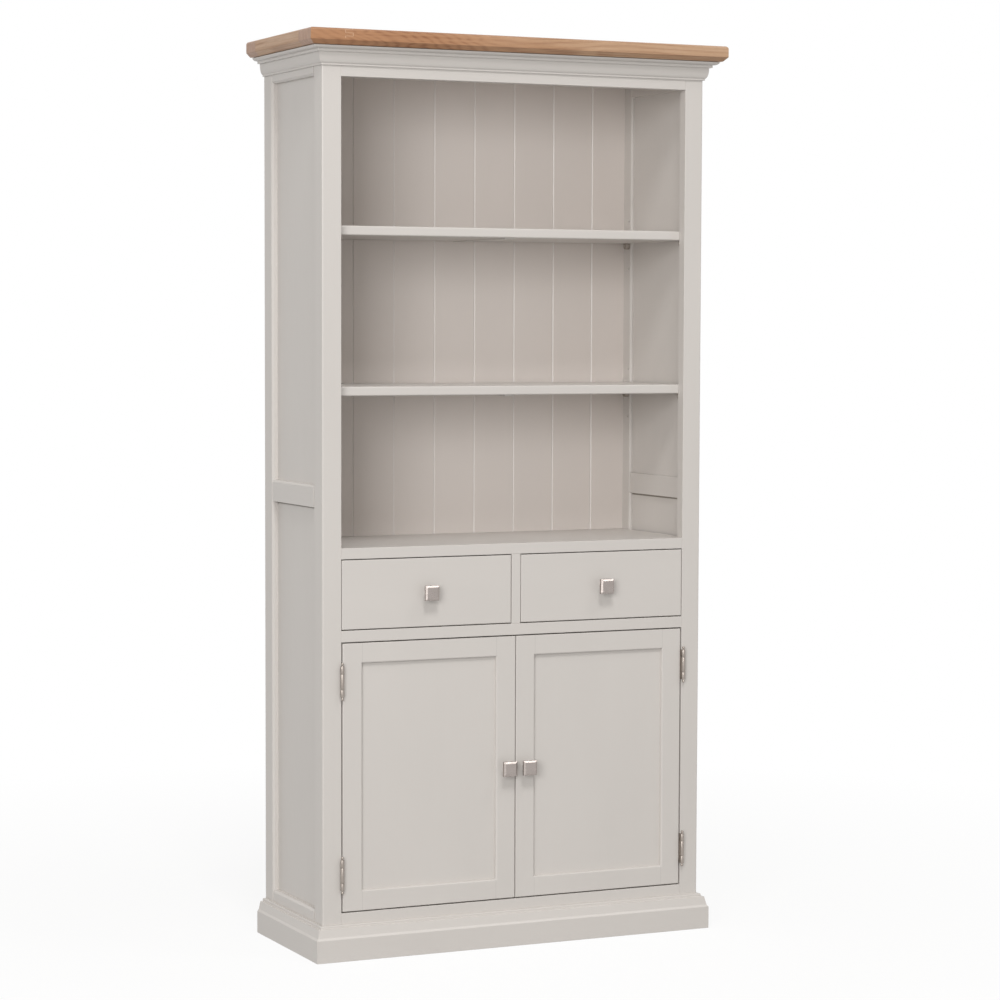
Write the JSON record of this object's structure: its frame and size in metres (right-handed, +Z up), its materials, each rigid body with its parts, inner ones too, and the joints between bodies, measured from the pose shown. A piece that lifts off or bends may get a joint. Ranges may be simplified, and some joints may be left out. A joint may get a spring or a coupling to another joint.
{
  "type": "bookcase with cabinet doors",
  "caption": "Tall painted bookcase with an oak top and cornice, open adjustable shelves, a row of drawers and a panelled two-door cupboard on a moulded plinth",
  "frame": {"origin": "on the floor, in the middle of the overall width and depth", "axes": "+Z up, +X to the right seen from the front, -Y towards the front and +Y towards the back"},
  "size_m": [0.98, 0.38, 1.95],
  "materials": {
    "paint": "satin warm grey paint on wood",
    "inside_paint": "satin warm grey paint on wood, inside",
    "oak": "oiled oak with open grain",
    "drawer_wood": "bare pale wood, sanded",
    "nickel": "brushed nickel plate",
    "catch": "moulded off-white plastic"
  },
  "bodies": {
    "carcase": {"back_panel": "inside_paint", "ceiling_board": "inside_paint", "cornice_front": "paint", "cornice_left": "paint", "cornice_right": "paint", "cupboard_floor": "inside_paint", "cupboard_shelf": "inside_paint", "deck_board": "paint", "door_catch": "catch", "drawer_muntin": "paint", "drawer_runner_board": "drawer_wood", "face_rail_above_doors": "paint", "face_rail_above_drawers": "paint", "face_rail_bottom": "paint", "face_rail_top": "paint", "face_stile_left": "paint", "face_stile_right": "paint", "hinge_lower_left_frame_leaf": "nickel", "hinge_lower_right_frame_leaf": "nickel", "hinge_upper_left_frame_leaf": "nickel", "hinge_upper_right_frame_leaf": "nickel", "oak_top": "oak", "plinth_front": "paint", "plinth_left": "paint", "plinth_right": "paint", "shelf_lower": "paint", "shelf_upper": "paint", "side_frame_left": "paint", "side_frame_right": "paint", "side_panel_lower_left": "paint", "side_panel_lower_right": "paint", "side_panel_upper_left": "paint", "side_panel_upper_right": "paint", "support_lower_back_left": "nickel", "support_lower_back_right": "nickel", "support_lower_front_left": "nickel", "support_lower_front_right": "nickel", "support_upper_back_left": "nickel", "support_upper_back_right": "nickel", "support_upper_front_left": "nickel", "support_upper_front_right": "nickel"},
    "drawer_left": {"drawer_bottom_left": "drawer_wood", "drawer_box_left": "drawer_wood", "drawer_front_left": "paint", "drawer_knob_left": "nickel"},
    "drawer_right": {"drawer_bottom_right": "drawer_wood", "drawer_box_right": "drawer_wood", "drawer_front_right": "paint", "drawer_knob_right": "nickel"},
    "door_left": {"door_frame_left": "paint", "door_knob_left": "nickel", "door_panel_left": "paint", "hinge_lower_left_door_leaf": "nickel", "hinge_upper_left_door_leaf": "nickel"},
    "door_right": {"door_frame_right": "paint", "door_knob_right": "nickel", "door_panel_right": "paint", "hinge_lower_right_door_leaf": "nickel", "hinge_upper_right_door_leaf": "nickel"}
  },
  "joints": [
    {"name": "drawer_left_slide", "type": "slide", "parent": "carcase", "child": "drawer_left", "axis": [0, -1, 0], "range_m": [0, 0.235]},
    {"name": "drawer_right_slide", "type": "slide", "parent": "carcase", "child": "drawer_right", "axis": [0, -1, 0], "range_m": [0, 0.235]},
    {"name": "door_left_hinge", "type": "hinge", "parent": "carcase", "child": "door_left", "pos_m": [-0.407, -0.1565, 0.387], "axis": [0, 0, -1], "range_deg": [0, 170]},
    {"name": "door_right_hinge", "type": "hinge", "parent": "carcase", "child": "door_right", "pos_m": [0.407, -0.1565, 0.387], "axis": [0, 0, 1], "range_deg": [0, 170]}
  ]
}
